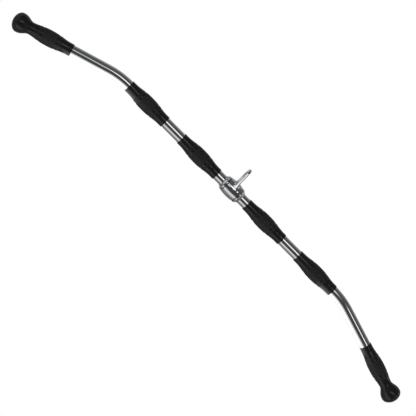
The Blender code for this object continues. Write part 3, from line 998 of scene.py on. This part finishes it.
@dataclass
class Hanger:
    """The chromed casting that hangs on the cable: a crowned barrel with an upright eye plate."""

    eye_height: float = -BAR_AXIS.z
    eye_radius: float = 8.0 * MM
    eye_rim: float = 8.0 * MM
    eye_round: float = 0.9 * MM
    plate_half: float = 3.1 * MM
    plate_foot: float = 20.2 * MM
    plate_fillet: float = 6.5 * MM
    plate_round: float = 1.9 * MM
    front_fillet: float = 2.0 * MM
    fillet_from: float = 0.25
    fillet_span: float = 0.30
    barrel_half: float = 17.15 * MM
    barrel_radius: float = 20.7 * MM
    barrel_crown: float = 1.6 * MM
    barrel_round: float = 0.6 * MM
    bush_seat: float = 15.5 * MM
    bush_step: float = 4.55 * MM
    bore_radius: float = 13.7 * MM
    mouth_round: float = 0.3 * MM
    probe: float = 0.01 * MM
    voxel: float = 0.45 * MM
    first_rounds: int = 3
    passes: int = 4
    pass_rounds: int = 2
    least_steep: float = 0.05
    tiny: float = 1e-9

    @staticmethod
    def joined(first: Points, second: Points, radius: float) -> Points:
        """Return the distance to two bodies joined by a fillet of the given radius."""
        inside = np.hypot(np.maximum(radius - first, 0), np.maximum(radius - second, 0))
        return np.maximum(radius, np.minimum(first, second)) - inside

    @staticmethod
    def kept(first: Points, second: Points, radius: float) -> Points:
        """Return the distance to what two bodies share, the edge between them rounded by the radius."""
        outside = np.hypot(np.maximum(radius + first, 0), np.maximum(radius + second, 0))
        return np.minimum(-radius, np.maximum(first, second)) + outside

    def outline(self, y: Points, z: Points) -> Points:
        """Return the distance to the eye plate's outline: a round top on a tapered stem.

        Args:
            y: Places from front to back.
            z: Heights from the eye's centre.

        Returns:
            The distances, negative inside.
        """
        radius = self.eye_radius + self.eye_rim
        foot = Vector((self.plate_foot, -self.eye_height))
        lean = math.acos(radius / foot.length) + math.atan2(foot.y, foot.x)
        out = np.abs(y)
        stem = math.cos(lean) * out + math.sin(lean) * z - radius
        above = math.cos(lean) * z - math.sin(lean) * out
        top = np.hypot(out, z) - radius
        return np.maximum(np.where(above > 0, top, stem), -self.eye_height - z)

    def fillet(self, upright: Points) -> Points:
        """Return the plate's fillet by how upright the barrel's side is: large on top, small at the edges."""
        share = np.clip((upright - self.fillet_from) / self.fillet_span, 0.0, 1.0)
        return self.front_fillet + (self.plate_fillet - self.front_fillet) * share**2 * (3 - 2 * share)

    def distance(self, points: Points) -> Points:
        """Return how far points are from the casting's surface, negative inside it.

        Args:
            points: Points in the model's frame.

        Returns:
            The distances.
        """
        x, y, z = points.T
        from_axis = np.hypot(y, z + self.eye_height)
        share = x / self.barrel_half
        slope = 2 * self.barrel_crown * share / self.barrel_half
        surface = self.barrel_radius - self.barrel_crown * share**2
        side = (from_axis - surface) / np.hypot(1.0, slope)
        barrel = self.kept(side, np.abs(x) - self.barrel_half, self.barrel_round)
        slab = self.joined(side, np.abs(x) - self.plate_half, self.fillet((z + self.eye_height) / from_axis))
        plate = self.kept(slab, self.outline(y, z), self.plate_round)
        plate = np.maximum(plate, np.abs(x) - self.plate_half - self.plate_fillet)
        seats = np.maximum(from_axis - self.bush_seat, self.bush_step - np.abs(x))
        bore = np.minimum(seats, from_axis - self.bore_radius)
        body = self.kept(np.minimum(barrel, plate), -bore, self.mouth_round)
        return self.kept(body, self.eye_radius - np.hypot(y, z), self.eye_round)

    def slope(self, points: Points, step: float) -> Points:
        """Return the gradient of the distance at points, measured over a step to each side."""
        both = [(self.distance(points + shift), self.distance(points - shift)) for shift in np.eye(3) * step]
        return np.stack([(ahead - behind) / (2 * step) for ahead, behind in both], 1)

    def laid(self, points: Points, rounds: int) -> Points:
        """Move points onto the casting's surface.

        Args:
            points: Points near the surface.
            rounds: How many Newton steps each takes.

        Returns:
            The moved points.
        """
        for _ in range(rounds):
            slope = self.slope(points, self.probe)
            steep = np.maximum((slope**2).sum(1), self.least_steep)
            move = -(self.distance(points) / steep)[:, None] * slope
            length = np.linalg.norm(move, axis=1, keepdims=True)
            points = points + move * np.minimum(1.0, self.voxel / np.maximum(length, self.tiny))
        return points

    def rough_skin(self) -> bpy.types.Mesh:
        """Lay an even mesh over a copy of the CAD casting.

        Returns:
            The mesh.
        """
        mesh = frame["nodes"]["hanger"].data.copy()
        mesh.materials.clear()
        shape = bmesh.new()
        shape.from_mesh(mesh)
        bmesh.ops.remove_doubles(shape, verts=shape.verts, dist=self.probe)
        shape.to_mesh(mesh)
        shape.free()
        obj = plain_object("hanger_casting_skin", mesh)
        remesh = obj.modifiers.new("even", "REMESH")
        remesh.mode = "VOXEL"
        remesh.voxel_size = self.voxel
        return settled(obj)

    def skin(self) -> bpy.types.Mesh:
        """Ease the even mesh onto the true surface, and take its normals from there.

        Returns:
            The casting's mesh.
        """
        mesh = self.rough_skin()
        points = self.laid(points_of(mesh), self.first_rounds)
        edges = np.zeros(len(mesh.edges) * 2, int)
        mesh.edges.foreach_get("vertices", edges)
        near, far = edges.reshape(-1, 2).T
        ties = np.bincount(np.concatenate([near, far]), minlength=len(points))
        for _ in range(self.passes):
            total = np.zeros_like(points)
            np.add.at(total, near, points[far])
            np.add.at(total, far, points[near])
            points = self.laid(0.5 * points + 0.5 * total / ties[:, None], self.pass_rounds)
        mesh.vertices.foreach_set("co", points.astype(np.float32).ravel())
        mesh.update()
        mesh.shade_smooth()
        normals = self.slope(points, self.voxel / 2)
        normals /= np.maximum(np.linalg.norm(normals, axis=1, keepdims=True), self.tiny)
        mesh.normals_split_custom_set_from_vertices(normals.tolist())
        return mesh

    def build(self) -> None:
        """Build the casting and dress it."""
        worn_reach = self.eye_radius + self.eye_round
        material = ChromePlate("hanger_chrome_plate", Polish.CAST, worn_reach=worn_reach).make()
        install("hanger_casting", self.skin(), material, "hanger", "hanger")


@dataclass
class Bearing:
    """What the bar runs in and against: a bronze bush and a nylon washer at each end of the barrel."""

    clearance: float = 0.3 * MM
    bush_round: float = 0.35 * MM
    washer_round: float = 0.2 * MM
    edge_steps: int = 3
    columns: int = 96
    crease: float = 40.0

    def flat_ring(self, node: str, side: Side, inner: float, edge: float) -> bpy.types.Mesh:
        """Return a plain ring with rounded edges, where its CAD node is.

        Args:
            node: The CAD node.
            side: Its half of the bar.
            inner: Its bore's radius.
            edge: The rounding of its edges.

        Returns:
            The mesh.
        """
        low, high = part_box(node)
        length, outer = high.x - low.x, (high.y - low.y) / 2
        rings = corner_rings((0.0, inner), Way.UP, Way.OUT, edge, self.edge_steps)
        rings += corner_rings((0.0, outer), Way.IN, Way.UP, edge, self.edge_steps)
        rings += corner_rings((length, outer), Way.DOWN, Way.IN, edge, self.edge_steps)
        rings += corner_rings((length, inner), Way.OUT, Way.DOWN, edge, self.edge_steps)
        return finished(Turning(rings, self.columns).mesh(node, node_seat(node, side)), self.crease)

    def build(self, bar: BentBar) -> None:
        """Build the bushes and washers and dress them.

        Args:
            bar: The bar that turns in them.
        """
        kinds = (
            ("bush", "bush_bronze", self.bush_round, SinteredBronze("bush_bronze_oiled").make()),
            ("thrust_washer", "washer_nylon", self.washer_round, TurnedNylon("washer_nylon_turned").make()),
        )
        for side in Side:
            for kind, slot, edge, material in kinds:
                node = f"{kind}_{side.word}"
                mesh = self.flat_ring(node, side, bar.radius + self.clearance, edge)
                install(f"bearing_{node}", mesh, material, "hanger", node)


@dataclass
class Collar:
    """A chromed collar with an ogee shoulder, held by a set screw in its back."""

    length: float = 9.6 * MM
    radius: float = 18.8 * MM
    land: float = 0.9 * MM
    lip: float = 0.6 * MM
    seat_radius: float = 13.0 * MM
    edge_round: float = 0.5 * MM
    bevel: float = 0.2 * MM
    mouth_steps: int = 2
    end_steps: int = 3
    fullness: float = 1.2
    row_spacing: float = 0.2 * MM
    columns: int = 144
    crease: float = 35.0
    wave_depth: float = 0.006 * MM
    hole_radius: float = 2.7 * MM
    drill_over: float = 2.0 * MM
    drill_columns: int = 64
    screw_radius: float = 2.4 * MM
    screw_edge: float = 0.9 * MM
    screw_sink: float = 1.0 * MM
    screw_round: float = 0.3 * MM
    screw_columns: int = 72
    screw_crease: float = 30.0
    point_radius: float = 1.2 * MM
    point_hollow: float = 0.45 * MM
    socket_flat: float = 1.25 * MM
    socket_depth: float = 1.4 * MM
    socket_lead: float = 0.15 * MM
    drill_point: float = 0.25 * MM
    drill_share: float = 0.8

    def shoulder(self, height: float) -> float:
        """Return the outer radius at a height above the inner face."""
        foot, run = self.seat_radius + self.lip, self.length - self.land
        return foot + (self.radius - foot) * fall((height - self.land) / run, self.fullness)

    def rings(self) -> list[Ring]:
        """Set out the collar's rings, from its bore round the inner face and down the shoulder.

        Returns:
            The rings.
        """
        bore, bevel, end = self.seat_radius, self.bevel, self.length
        rings = corner_rings((0.0, bore), Way.UP, Way.OUT, bevel, self.mouth_steps)
        rings += corner_rings((0.0, self.radius), Way.IN, Way.UP, self.edge_round)
        stations = spread(self.land, end - bevel, self.row_spacing)
        rings += [Ring(height, self.shoulder(height)) for height in stations]
        rings += corner_rings((end, self.shoulder(end)), Way.DOWN, Way.IN, bevel, self.end_steps)
        return rings + corner_rings((end, bore), Way.OUT, Way.DOWN, bevel, self.mouth_steps)

    def screw_seat(self, side: Side, height: float) -> Seat:
        """Return the set screw's seat in the back of a collar, at a distance from the bar's axis."""
        place = inner_face(f"collar_{side.word}") + self.screw_edge + self.hole_radius
        return Seat(on_axis(side.value * place) + FRONT_TO_BACK * height, FRONT_TO_BACK, ACROSS)

    def body(self, side: Side) -> bpy.types.Mesh:
        """Turn a collar and drill the set screw's hole.

        Args:
            side: Its half of the bar.

        Returns:
            The mesh.
        """
        name = f"collar_{side.word}_turned"
        seat = node_seat(f"collar_{side.word}", side)
        collar = plain_object(name, Turning(self.rings(), self.columns).mesh(name, seat))
        depth = self.radius - self.seat_radius + 2 * self.drill_over
        profile = ((0.0, 0.0), (0.0, self.hole_radius), (depth, self.hole_radius), (depth, 0.0))
        drill = Turning([Ring(*corner) for corner in profile], self.drill_columns, hollow=False)
        start = self.screw_seat(side, self.seat_radius - self.drill_over)
        cutter = plain_object("drill", drill.mesh("drill", start))
        cut = collar.modifiers.new("drilled", "BOOLEAN")
        cut.operation = "DIFFERENCE"
        cut.solver = "EXACT"
        cut.object = cutter
        mesh = settled(collar)
        bpy.data.objects.remove(cutter)
        return finished(mesh, self.crease)

    def screw(self, side: Side) -> bpy.types.Mesh:
        """Cut a set screw with a chamfered rim, a hexagon socket and a cupped point.

        Args:
            side: Its half of the bar.

        Returns:
            The mesh.
        """
        high = self.shoulder(self.screw_edge + self.hole_radius) - self.screw_sink - self.seat_radius
        floor = high - self.socket_depth
        rings = [
            Ring(self.point_hollow, 0.0),
            Ring(0.0, self.point_radius),
            Ring(0.0, self.screw_radius - self.screw_round),
            Ring(self.screw_round, self.screw_radius),
            Ring(high - self.screw_round, self.screw_radius),
            Ring(high, self.screw_radius - self.screw_round),
            Ring(high, self.socket_flat / math.cos(math.pi / HEXAGON) + self.socket_lead),
            Ring(high - self.socket_lead, self.socket_flat, flats=HEXAGON),
            Ring(floor, self.socket_flat, flats=HEXAGON),
            Ring(floor, self.socket_flat * self.drill_share),
            Ring(floor - self.drill_point, 0.0),
        ]
        screw = Turning(rings, self.screw_columns, hollow=False)
        seat = self.screw_seat(side, self.seat_radius)
        return finished(screw.mesh(f"set_screw_{side.word}_cut", seat), self.screw_crease)

    def build(self) -> None:
        """Build both collars and their set screws and dress them."""
        chrome = ChromePlate("collar_chrome_plate", Polish.AROUND, wave_depth=self.wave_depth).make()
        steel = BlackenedSteel("screw_steel_blacked").make()
        for side in Side:
            node = f"collar_{side.word}"
            install(f"{node}_turned", self.body(side), chrome, "bar", node)
            node = f"set_screw_{side.word}"
            install(f"{node}_cut", self.screw(side), steel, "bar", node)


@dataclass(frozen=True)
class Tread:
    """The checkered tread: each diamond is raised in steps, and its top drawn in at each."""

    height: float = 0.19 * MM
    steps: tuple[Pair, ...] = ((0.72, 0.58), (0.22, 0.84), (0.06, 0.80))

    def tree(self) -> ShapeTree:
        """Lay out the tree that raises a blunt pyramid with eased edges on each diamond.

        Returns:
            The tree.
        """
        shape = ShapeTree("grip_tread")
        sheet = shape.sheet
        height = shape.size("Tread height")
        solid, top, raised = shape.start, shape.read("diamond", "BOOLEAN"), False
        for rise, narrow in self.steps:
            faces = {"Mesh": solid, "Selection": top, "Offset Scale": height * rise, "Individual": True}
            step = sheet.add("GeometryNodeExtrudeMesh", {"mode": "FACES"}, faces)
            top = step.outputs["Top"]
            for part in (top, step.outputs["Side"]):
                raised = sheet.result("FunctionNodeBooleanMath", 0, {"operation": "OR"}, {0: raised, 1: part})
            drawn = {"Geometry": step.outputs["Mesh"], "Selection": top, "Scale": narrow}
            uniform = {"domain": "FACE", "scale_mode": "UNIFORM"}
            solid = sheet.result("GeometryNodeScaleElements", 0, uniform, drawn)
        shape.end(shape.stored(solid, "tread", "FLOAT", "FACE", raised))
        return shape


@dataclass
class Grip:
    """A moulded rubber grip that swells in the middle, with a tread between and beside two ring grooves."""

    tread: Tread
    tree: ShapeTree
    rubber: bpy.types.Material
    hollow: bool = True
    length: float = 113.5 * MM
    end_radius: float = 14.2 * MM
    seat_radius: float = 13.0 * MM
    edge_round: float = 0.6 * MM
    edge_steps: int = 4
    mouth_round: float = 0.3 * MM
    mouth_steps: int = 2
    end_flat: float = 1.4
    swell_height: float = 3.9 * MM
    swell_reach: float = 48.0 * MM
    swell_fullness: float = 1.2
    pad_half: float = 29.0 * MM
    pad_rise: float = 0.2 * MM
    pad_edge: float = 1.0 * MM
    ring_offset: float = 20.2 * MM
    ring_half: float = 2.1 * MM
    ring_depth: float = 0.4 * MM
    ring_fullness: float = 1.6
    tread_wall: float = 0.25 * MM
    tread_border: float = 0.45 * MM
    lattice: float = 1.2 * MM
    end_step: float = 2.5 * MM
    swell_step: float = 1.2 * MM
    pad_step: float = 0.25 * MM
    columns: int = 96
    crease: float = 42.0

    @property
    def centre(self) -> float:
        """The swell's middle, from the inner end."""
        return self.length / 2

    @property
    def reach(self) -> float:
        """How far the swell's outline goes from its middle, up to the rounded rim of a plain end."""
        return self.centre - self.end_flat * self.edge_round

    def radius_at(self, place: float) -> float:
        """Return the outer radius at a distance from the swell's middle, without the tread.

        Args:
            place: The distance, of either sign.

        Returns:
            The radius.
        """
        out = abs(place)
        swell = self.swell_height * fall(out / self.swell_reach, self.swell_fullness)
        groove = self.ring_depth * fall(abs(out - self.ring_offset) / self.ring_half, self.ring_fullness)
        pad = self.pad_rise * fall((out - self.pad_half + self.pad_edge) / self.pad_edge, 1.0)
        return self.end_radius + swell + pad - groove

    def zones(self) -> list[Pair]:
        """Set out the treaded stretches.

        Returns:
            Where each starts and ends, as distances from the swell's middle.
        """
        inner = self.ring_offset - self.ring_half - self.tread_border
        outer = self.ring_offset + self.ring_half + self.tread_border
        edge = self.pad_half - self.pad_edge - self.tread_border
        return [(-edge, -outer), (-inner, inner), (outer, edge)]

    def ring(self, place: float, zone: int = 0) -> Ring:
        """Return the ring at a distance from the swell's middle, let in by the tread's height in a zone."""
        return Ring(self.centre + place, self.radius_at(place) - (self.tread.height if zone else 0.0), zone)

    def smooth_rings(self, start: float, end: float) -> list[Ring]:
        """Return the rings of a smooth stretch, closer together where the outline turns faster.

        Args:
            start: Its start, as a distance from the swell's middle.
            end: Its end.

        Returns:
            The rings, with one at each end.
        """
        marks = [self.swell_reach, self.pad_half, self.pad_half - self.pad_edge]
        marks += [self.ring_offset + self.ring_half, self.ring_offset - self.ring_half]
        cuts = sorted({sign * mark for mark in marks for sign in (-1, 1) if start < sign * mark < end})
        places: list[float] = []
        for here, there in pairwise([start, *cuts, end]):
            out = abs(here + there) / 2
            fine = self.swell_step if out > self.pad_half else self.pad_step
            places += spread(here, there, self.end_step if out > self.swell_reach else fine)
        return [self.ring(place) for place in [*places, end]]

    def outer_rings(self, first: float, last: float) -> list[Ring]:
        """Return the rings of the outside between two distances from the swell's middle.

        Args:
            first: Where they start.
            last: Where they end.

        Returns:
            The rings, their heights counted from the grip's inner end.
        """
        rings: list[Ring] = []
        for zone, (low, high) in enumerate(self.zones(), 1):
            rings += self.smooth_rings(first, low - self.tread_wall)
            count = round((high - low) / self.lattice)
            rings += [self.ring(low + (high - low) * index / count, zone) for index in range(count + 1)]
            first = high + self.tread_wall
        return rings + self.smooth_rings(first, last)

    def end_face(self, height: float, inwards: Way) -> list[Ring]:
        """Set out a plain end, from the outside over the end face into the bore.

        Args:
            height: Where the end is.
            inwards: The way from it into the grip.

        Returns:
            The rings.
        """
        rim = ((height, self.end_radius), inwards, Way.IN, self.edge_round, self.edge_steps)
        mouth = ((height, self.seat_radius), Way.OUT, inwards, self.mouth_round, self.mouth_steps)
        return corner_rings(*rim) + corner_rings(*mouth)

    def rings(self) -> list[Ring]:
        """Return all rings of a straight grip, from its inner bore's rim round the outside and back."""
        outside = self.outer_rings(-self.reach, self.reach)
        return self.end_face(0.0, Way.UP)[::-1] + outside + self.end_face(self.length, Way.DOWN)

    def mould(self, node: str, seat: Seat) -> None:
        """Mould one grip, raise its tread and put it in the place of its CAD node.

        Args:
            node: The CAD node.
            seat: Where the grip sits.
        """
        name = f"{node}_moulding"
        mesh = Turning(self.rings(), self.columns, self.hollow).mesh(name, seat)
        mesh = self.tree.run(name, mesh, {"Tread height": self.tread.height, "Material": self.rubber})
        install(name, finished(mesh, self.crease), self.rubber, "bar", node)

    def build(self) -> None:
        """Build the four straight grips and dress them."""
        for side in Side:
            for place in ("inner", "outer"):
                node = f"grip_{place}_{side.word}"
                self.mould(node, node_seat(node, side))


@dataclass
class EndGrip(Grip):
    """The grip over an arm's end: a straight grip's swell, then a neck and a knob that closes it."""

    hollow: bool = False
    whole_length: float = 145.5 * MM
    end_cover: float = BentBar.end_cover
    bore_clearance: float = 0.3 * MM
    floor_edge: float = 0.5 * MM
    neck_land: float = 1.0 * MM
    neck_rows: int = 26
    knob_length: float = 44.7 * MM
    knob_radius: float = 23.0 * MM
    knob_dome: float = 16.8 * MM
    knob_fullness: float = 1.3
    knob_inset: float = 0.05 * MM
    dome_rows: int = 28

    def knob_at(self, from_tip: float) -> float:
        """Return the knob's radius at a distance from its tip.

        Args:
            from_tip: The distance.

        Returns:
            The radius: an elliptic dome, then a fall to the neck.
        """
        widest = self.knob_radius - self.knob_inset
        if from_tip <= self.knob_dome:
            return widest * math.sqrt(max(0.0, 1 - (1 - from_tip / self.knob_dome) ** 2))
        share = (from_tip - self.knob_dome) / (self.knob_length - self.knob_dome)
        return self.end_radius + (widest - self.end_radius) * fall(share, self.knob_fullness)

    def knob_rings(self) -> list[Ring]:
        """Set out the knob's rings from the neck to the tip.

        Returns:
            The rings.
        """
        fall_length = self.knob_length - self.knob_dome
        places = [self.knob_dome + fall_length * row / self.neck_rows for row in range(self.neck_rows, 0, -1)]
        turns = [math.pi / 2 * row / self.dome_rows for row in range(self.dome_rows, -1, -1)]
        places += [self.knob_dome * (1 - math.cos(turn)) for turn in turns]
        return [Ring(self.whole_length - self.knob_inset - place, self.knob_at(place)) for place in places]

    def rings(self) -> list[Ring]:
        """Set out all rings, from the blind bore's floor round the inner end to the knob's tip.

        Returns:
            The rings.
        """
        floor = self.whole_length - self.end_cover + self.bore_clearance
        radii = (0.0, self.seat_radius - self.floor_edge, self.seat_radius)
        rings = [Ring(floor, radius) for radius in radii] + self.end_face(0.0, Way.UP)[::-1]
        neck = self.whole_length - self.knob_length - self.centre
        return rings + self.outer_rings(-self.reach, neck - self.neck_land) + self.knob_rings()

    def build_on(self, bar: BentBar) -> None:
        """Build both end grips on a bar's arms and dress them."""
        for side in Side:
            self.mould(f"end_grip_{side.word}", bar.arm_seat(side, bar.arm_length - self.whole_length))


# Studio


@dataclass(frozen=True)
class Softbox:
    """A soft light far off, given by the directions that it fills: across, away from the viewer and up."""

    strength: float
    across: Pair
    away: Pair
    up: Pair
    soft: float = 0.04

    def lit(self, direction: tuple[Signal, Signal, Signal]) -> Signal:
        """Return its light in a direction.

        Args:
            direction: The direction's three parts.

        Returns:
            The light.
        """
        light: Any = self.strength
        for part, (low, high) in zip(direction, (self.across, self.away, self.up)):
            if low > -1.0:
                light = part.rise(low - self.soft, low + self.soft) * light
            if high < 1.0:
                light = part.rise(high + self.soft, high - self.soft) * light
        return light


@dataclass
class Studio:
    """A plain pale floor, soft lights and the photograph's camera."""

    distance: float = 4.25
    yaw: float = math.radians(7.99)
    roll: float = math.radians(45.097)
    focal_pixels: float = 1903.4
    target: Vector = field(default_factory=lambda: BAR_AXIS + Vector((-0.0079, 0.0, -0.0670)))
    clip: Pair = (0.1, 100.0)
    floor_drop: float = 1.5
    floor_reach: Pair = (4.2, 2.4)
    floor_fade: Pair = (1.0, 0.72)
    floor_white: float = 0.66
    floor_roughness: float = 0.9
    floor_glow: float = 0.50
    floor_sides: int = 96
    lamp_size: Pair = (3.4, 1.2)
    lamp_place: Pair = (0.2, -1.05)
    lamp_height: float = 0.4
    lamp_watts: float = 15.0
    board_size: Pair = (0.172, 0.105)
    board_places: Pair = (0.043, 0.057)
    board_drop: float = 0.060
    board_back: float = 0.023
    board_glow: float = 1.15
    gloom: float = 0.06
    ceiling: float = 0.03
    ceiling_rise: Pair = (0.4, 0.7)
    backdrop: float = 0.10
    backdrop_rise: Pair = (0.0, 0.5)
    softboxes: tuple[Softbox, ...] = (
        Softbox(1.00, (-0.04, 0.23), (-1.0, -0.5), (0.31, 0.52)),
        Softbox(0.55, (-0.34, 0.25), (-1.0, -0.4), (0.28, 0.54)),
        Softbox(1.70, (0.34, 0.39), (-1.0, -0.5), (0.30, 0.52), 0.025),
        Softbox(1.35, (0.10, 0.16), (-1.0, -0.5), (0.16, 0.22), 0.03),
        Softbox(0.95, (-0.50, -0.06), (-1.0, -0.4), (0.10, 0.26), 0.03),
        Softbox(1.50, (-0.72, -0.58), (-0.04, 0.24), (0.62, 0.78), 0.03),
        Softbox(1.50, (0.60, 0.76), (-0.04, 0.26), (0.62, 0.78), 0.03),
        Softbox(0.14, (0.60, 1.0), (-1.0, 1.0), (0.10, 0.60), 0.08),
        Softbox(0.14, (-1.0, -0.60), (-1.0, 1.0), (0.10, 0.60), 0.08),
        Softbox(0.40, (0.90, 1.0), (-0.50, 0.08), (-0.5, 0.5), 0.06),
        Softbox(0.40, (-1.0, -0.90), (-0.50, 0.08), (-0.5, 0.5), 0.06),
        Softbox(0.50, (-0.42, 0.42), (0.26, 1.0), (-1.0, 0.10), 0.32),
        Softbox(0.18, (-0.42, 0.42), (0.26, 1.0), (0.10, 1.0), 0.32),
    )

    @staticmethod
    def hung(name: str, data: bpy.types.ID, place: Vector, right: Vector, back: Vector) -> bpy.types.Object:
        """Hang a camera or a light.

        Args:
            name: Its name.
            data: The camera or light.
            place: Its centre.
            right: The direction of its right side.
            back: The direction away from where it looks or shines.

        Returns:
            The object.
        """
        obj = plain_object(name, data)
        turn = Matrix((right, back.cross(right), back)).transposed().to_4x4()
        obj.matrix_world = Matrix.Translation(place) @ turn
        return obj

    def camera(self) -> None:
        """Place the camera at the photograph's viewing angle."""
        back = Vector((-math.sin(self.yaw), -math.cos(self.yaw), 0.0))
        right = UP.cross(back)
        across = right * math.cos(self.roll) + back.cross(right) * math.sin(self.roll)
        lens = bpy.data.cameras.new("studio_camera")
        lens.lens = lens.sensor_width * self.focal_pixels / PHOTO_SIDE
        lens.clip_start, lens.clip_end = self.clip
        place = self.target + back * self.distance
        bpy.context.scene.camera = self.hung("studio_camera", lens, place, across, back)

    def floor(self) -> None:
        """Lay the floor, which fades out at its rim and is clear from below."""
        wide, deep = self.floor_reach
        level = BAR_AXIS.z - self.floor_drop
        turns = [TURN * index / self.floor_sides for index in range(self.floor_sides)]
        rim = [(wide * math.cos(turn), deep * math.sin(turn), level) for turn in turns]
        mesh = bpy.data.meshes.new("studio_floor")
        mesh.from_pydata(rim, [], [range(self.floor_sides)])
        sheet = MaterialSheet("studio_floor_pale")
        reach = sheet.length(sheet.scaled(sheet.place(), (1.0 / wide, 1.0 / deep, 0.0)))
        below = sheet.result("ShaderNodeNewGeometry", "Backfacing")
        direct = sheet.result("ShaderNodeLightPath", "Is Camera Ray")
        pale = sheet.surface(
            Base_Color=(*(self.floor_white,) * 3, 1.0),
            Roughness=self.floor_roughness,
            Alpha=reach.rise(*self.floor_fade) * (1.0 - below),
            Emission_Color=sheet.blend(direct, (0.0, 0.0, 0.0), (self.floor_glow,) * 3),
            Emission_Strength=1.0,
        )
        mesh.materials.append(pale)
        plain_object("studio_floor", mesh)

    def soft_light(
        self, name: str, size: Pair, watts: float, place: Vector, right: Vector, back: Vector
    ) -> None:
        """Hang a flat soft light, which the camera doesn't see.

        Args:
            name: Its name.
            size: Its two sides.
            watts: Its power.
            place: Its centre.
            right: The direction of its first side.
            back: The direction away from where it shines.
        """
        light = bpy.data.lights.new(name, "AREA")
        light.shape = "RECTANGLE"
        light.size, light.size_y = size
        light.energy = watts
        self.hung(name, light, place, right, back)

    def lamps(self, bar: BentBar) -> None:
        """Hang a lamp low over the front of the floor and a white board under each of the bar's arms.

        Args:
            bar: The bar, whose bends and arms shine white below from the boards.
        """
        place = Vector((*self.lamp_place, BAR_AXIS.z - self.floor_drop + self.lamp_height))
        self.soft_light("studio_lamp", self.lamp_size, self.lamp_watts, place, ACROSS, UP)
        watts = math.pi * math.prod(self.board_size) * self.board_glow
        for side, distance in zip(Side, self.board_places):
            seat = bar.arm_seat(side, distance)
            place = seat.foot - seat.above * self.board_drop + FRONT_TO_BACK * self.board_back
            name = f"studio_board_{side.word}"
            self.soft_light(name, self.board_size, watts, place, seat.along, -seat.above)

    def sky(self) -> None:
        """Light the studio with soft boxes and a bright back wall, on a plain white ground for the camera."""
        world = bpy.data.worlds.new("studio_light")
        world.use_nodes = True
        bpy.context.scene.world = world
        sheet = NodeSheet(world.node_tree)
        sheet.tree.nodes.clear()
        toward = sheet.result("ShaderNodeTexCoord", "Generated")
        across, away, up = (sheet.part_of(toward, axis) for axis in "XYZ")
        light = away.rise(*self.backdrop_rise) * self.backdrop + up.rise(*self.ceiling_rise) * self.ceiling
        light = light + self.gloom
        for box in self.softboxes:
            light = light + box.lit((across, away, up))
        shades = [
            sheet.add("ShaderNodeBackground", inputs={"Color": (1.0, 1.0, 1.0, 1.0), "Strength": strength})
            for strength in (light, 1.0)
        ]
        seen = sheet.result("ShaderNodeLightPath", "Is Camera Ray")
        mix = {0: seen, 1: shades[0].outputs[0], 2: shades[1].outputs[0]}
        surface = sheet.result("ShaderNodeMixShader", inputs=mix)
        sheet.add("ShaderNodeOutputWorld", inputs={"Surface": surface})

    def build(self, bar: BentBar) -> None:
        """Set up the camera, the floor and the lights.

        Args:
            bar: The bar that the boards stand under.
        """
        self.camera()
        self.floor()
        self.lamps(bar)
        self.sky()
        bpy.context.scene.view_settings.view_transform = "Standard"


def main() -> None:
    """Build the studio, then each sub-assembly in order."""
    logging.basicConfig(level=logging.INFO, format="%(message)s")
    bar = BentBar()
    Studio().build(bar)
    bar.build()
    Hanger().build()
    Bearing().build(bar)
    Collar().build()
    tread = Tread()
    moulding = (tread, tread.tree(), MouldedRubber("grip_rubber_moulded").make())
    Grip(*moulding).build()
    EndGrip(*moulding).build_on(bar)


if __name__ == "__main__":
    main()
